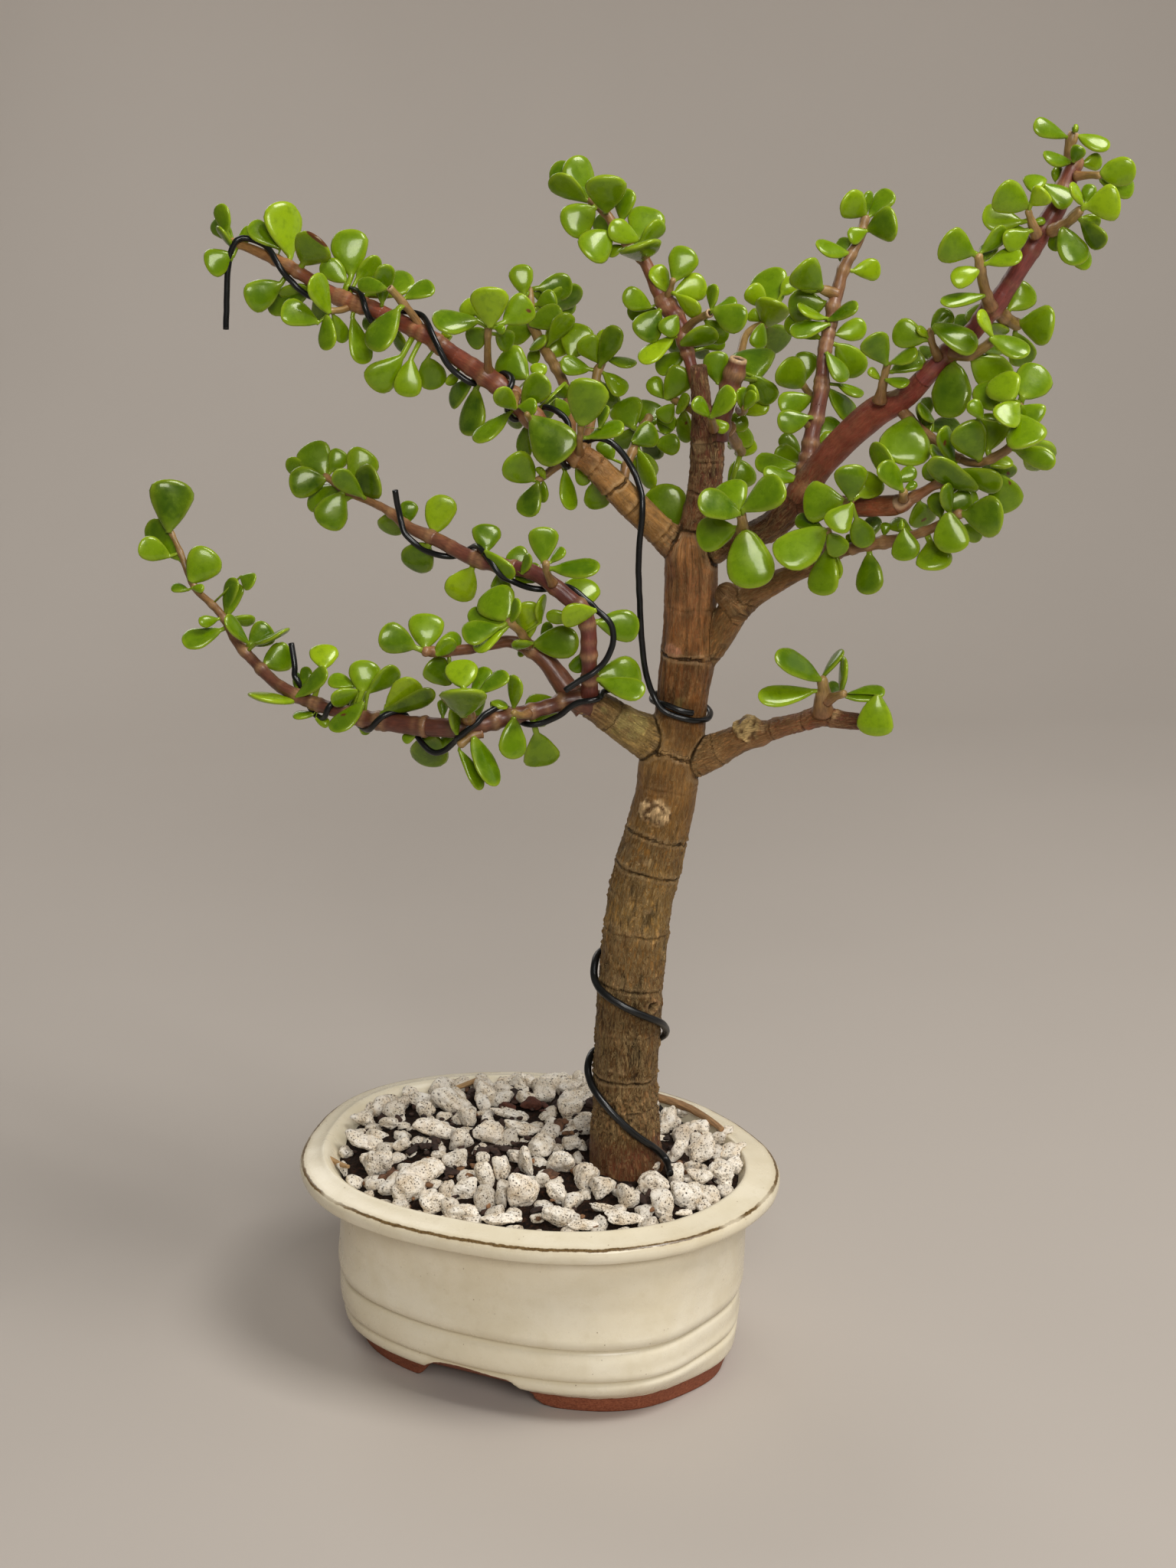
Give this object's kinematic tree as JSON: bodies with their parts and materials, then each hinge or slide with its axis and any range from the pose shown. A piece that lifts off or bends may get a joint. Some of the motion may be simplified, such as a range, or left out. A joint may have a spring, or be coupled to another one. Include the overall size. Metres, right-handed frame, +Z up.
{
  "type": "dwarf jade bonsai",
  "caption": "Styled miniature jade tree with an upright trunk, wired branches and pairs of small fleshy leaves, planted under gravel in an oval glazed pot.",
  "frame": {"origin": "on the ground plane, below the middle of the bounding box of the whole plant and pot", "axes": "+Z up; +X along the long axis of the pot, towards the end that the trunk stands near; +Y to the back of the pot"},
  "size_m": [0.277, 0.1256, 0.3775],
  "materials": {
    "glazed_pot": "glossy cream glaze, brown where it breaks on the lip's edge, bare terracotta foot",
    "drain_mesh": "matt black plastic mesh",
    "potting_soil": "dark crumbly potting mix",
    "pumice": "rough pitted off-white pumice",
    "bark": "brown fissured bark with rings, cream scars and a smooth red-brown foot",
    "branch_bark": "satin brown to purple-red young bark with node rings",
    "leaf": "waxy yellow-green fleshy leaf with a paler edge",
    "wire_coating": "black glossy coated training wire",
    "dry_wood": "dry weathered tan stick"
  },
  "bodies": {
    "root": {"bark_stick": "dry_wood", "branch_centre": "branch_bark", "branch_left": "branch_bark", "branch_lower_right": "branch_bark", "branch_right": "branch_bark", "branch_right_middle": "branch_bark", "branch_right_spur": "branch_bark", "branch_upper_left": "branch_bark", "drain_screen_left": "drain_mesh", "drain_screen_right": "drain_mesh", "gravel": "pumice", "pot": "glazed_pot", "pumice_stone_back": "pumice", "pumice_stone_front": "pumice", "pumice_stone_left": "pumice", "pumice_stone_middle": "pumice", "pumice_stone_right": "pumice", "shoot_back_left": "leaf", "shoot_back_top": "leaf", "shoot_centre_back": "leaf", "shoot_centre_outer": "leaf", "shoot_centre_stub": "leaf", "shoot_centre_tip": "leaf", "shoot_front_centre": "leaf", "shoot_front_right": "leaf", "shoot_left_inner": "leaf", "shoot_left_tip": "leaf", "shoot_left_upright": "leaf", "shoot_limb_knee": "leaf", "shoot_limb_middle": "leaf", "shoot_limb_tip": "leaf", "shoot_limb_upper": "leaf", "shoot_lower_left_inner": "leaf", "shoot_lower_left_middle": "leaf", "shoot_lower_left_tip": "leaf", "shoot_lower_left_upper": "leaf", "shoot_lower_right_inner": "leaf", "shoot_lower_right_outer": "leaf", "shoot_mast_low": "leaf", "shoot_mast_middle": "leaf", "shoot_mast_tip": "leaf", "shoot_right_inner": "leaf", "shoot_right_low": "leaf", "shoot_right_spur": "leaf", "shoot_right_tip": "leaf", "shoot_upper_left_crotch": "leaf", "shoot_upper_left_inner": "leaf", "shoot_upper_left_middle": "leaf", "shoot_upper_left_tip": "leaf", "soil": "potting_soil", "trunk": "bark", "wire_lower_left": "wire_coating", "wire_middle_left": "wire_coating", "wire_trunk": "wire_coating", "wire_upper": "wire_coating"}
  },
  "joints": []
}
